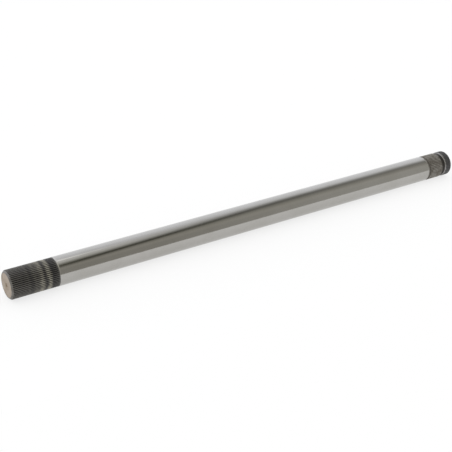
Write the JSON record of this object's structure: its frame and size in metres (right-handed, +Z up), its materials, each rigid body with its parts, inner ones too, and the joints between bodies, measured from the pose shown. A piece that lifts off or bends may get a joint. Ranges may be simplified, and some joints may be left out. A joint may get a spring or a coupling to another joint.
{
  "type": "machine shaft",
  "caption": "Straight ground steel shaft with a fine serration on both ends, a retaining groove near one end and a centre hole in each end face.",
  "frame": {"origin": "centre of the near end face, the one beside the long serration, on the shaft's axis", "axes": "+X along the shaft, from the long serration to the grooved end; +Z up. The shaft lies on its journal, so the surface under it is at Z = -15 mm"},
  "size_m": [0.58, 0.03, 0.03],
  "materials": {
    "shaft_steel": "ground bright between the ends; serrations dark and mottled from heat treatment; near end face plain turned"
  },
  "bodies": {
    "root": {"shaft": "shaft_steel"}
  },
  "joints": []
}
